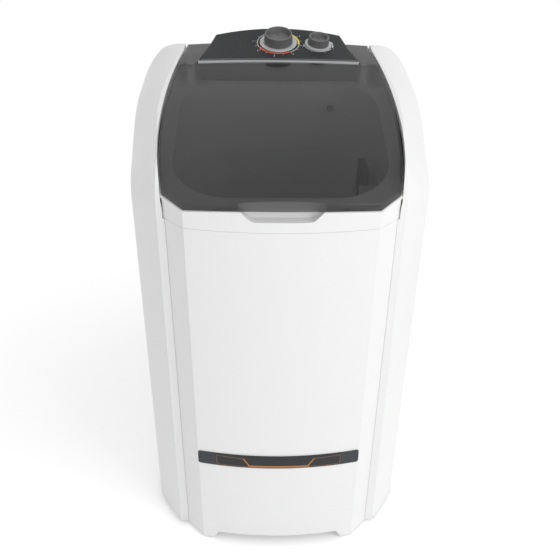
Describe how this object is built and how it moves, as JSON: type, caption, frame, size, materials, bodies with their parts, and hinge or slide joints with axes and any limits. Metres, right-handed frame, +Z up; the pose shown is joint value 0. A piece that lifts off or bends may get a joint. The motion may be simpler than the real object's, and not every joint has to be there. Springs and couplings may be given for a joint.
{
  "type": "semi-automatic washing machine",
  "caption": "Top-loading semi-automatic washing machine with a bowed white cabinet, smoked hinged lid, sloping knob console and a belt-driven impeller in the tub.",
  "frame": {"origin": "on the floor under the middle of the machine's overall plan", "axes": "+Z up, front of the machine towards -Y, +X to the right as seen from the front"},
  "size_m": [0.5932, 0.5781, 1.0079],
  "materials": {
    "white_panel": "glossy white moulded plastic",
    "white_inner": "satin white moulded plastic",
    "smoked_lid": "smoked translucent plastic, polished",
    "console_overlay": "dark grey printed overlay",
    "console_grey": "satin dark grey moulded plastic",
    "trim_grey": "light grey moulded trim",
    "knob_grey": "satin dark grey moulded plastic",
    "strip_dark": "dark grey strip with an orange line",
    "black_rubber": "black rubber",
    "pale_rubber": "pale grey rubber",
    "steel": "bright steel",
    "zinc_sheet": "zinc-plated sheet steel",
    "cast_housing": "die-cast aluminium",
    "black_plastic": "black moulded plastic",
    "bronze": "sintered bronze",
    "motor_paint": "grey painted motor shell",
    "capacitor_case": "off-white capacitor case",
    "hose_grey": "grey flexible hose",
    "wire_sleeve": "black wiring sleeve",
    "filter_mesh": "grey moulded mesh"
  },
  "bodies": {
    "root": {"side_panel_left": "white_panel", "side_panel_right": "white_panel", "front_panel": "white_panel", "rear_panel": "white_inner", "rear_service_cover": "white_inner", "service_cover_screws": "steel", "base_frame": "white_inner", "rubber_feet": "black_rubber", "front_strip": "strip_dark", "top_frame": "white_panel", "lid_bumpers": "pale_rubber", "wash_tub": "white_inner", "console_housing": "console_grey", "console_face": "console_overlay", "console_trim": "trim_grey", "timer_bezel": "trim_grey", "selector_bezel": "trim_grey", "timer_unit": "black_plastic", "selector_switch": "black_plastic", "bearing_housing": "black_plastic", "housing_screws": "steel", "upper_bush": "bronze", "lower_bush": "bronze", "shaft_seal": "black_rubber", "drive_belt": "black_rubber", "motor_body": "motor_paint", "motor_bracket": "zinc_sheet", "motor_mounts": "black_rubber", "motor_bolts": "steel", "capacitor": "capacitor_case", "capacitor_clamp": "zinc_sheet", "drain_elbow": "black_plastic", "drain_hose_inner": "hose_grey", "hose_clamps": "steel", "drain_outlet": "black_plastic", "inlet_nipple": "black_plastic", "fill_spout": "white_inner", "cord_inlet": "black_plastic", "wiring_harness": "wire_sleeve"},
    "lid": {"lid": "smoked_lid", "hinge_pin_left": "steel", "hinge_pin_right": "steel"},
    "timer_knob": {"timer_knob": "knob_grey"},
    "selector_knob": {"selector_knob": "knob_grey"},
    "impeller": {"impeller": "white_inner", "impeller_screw": "steel", "drive_shaft": "steel", "driven_pulley": "cast_housing", "pulley_nut": "steel"},
    "motor_rotor": {"motor_shaft": "steel", "motor_pulley": "cast_housing"},
    "lint_filter": {"lint_filter_frame": "console_grey", "lint_filter_mesh": "filter_mesh"}
  },
  "joints": [
    {"name": "lid_hinge", "type": "hinge", "parent": "root", "child": "lid", "pos_m": [0, 0.252, 0.942], "axis": [-1, 0, 0], "range_deg": [0, 95]},
    {"name": "timer_turn", "type": "hinge", "parent": "root", "child": "timer_knob", "pos_m": [0, 0.222, 0.97872], "axis": [0, -0.3024, 0.9532], "range_deg": [-330, 0]},
    {"name": "selector_turn", "type": "hinge", "parent": "root", "child": "selector_knob", "pos_m": [0.086, 0.222, 0.97555], "axis": [0.0706, -0.275, 0.9589], "range_deg": [-135, 0]},
    {"name": "impeller_spin", "type": "hinge", "parent": "root", "child": "impeller", "pos_m": [0, -0.04, 0.269], "axis": [0, 0, 1], "continuous": true},
    {"name": "motor_spin", "type": "hinge", "parent": "root", "child": "motor_rotor", "pos_m": [0, 0.16, 0.165], "axis": [0, 0, 1], "continuous": true},
    {"name": "filter_lift", "type": "slide", "parent": "root", "child": "lint_filter", "axis": [0, 0, 1], "range_m": [0, 0.1]}
  ],
  "couplings": [
    {"joint": "motor_spin", "follows": "impeller_spin", "ratio": 5.8837}
  ]
}
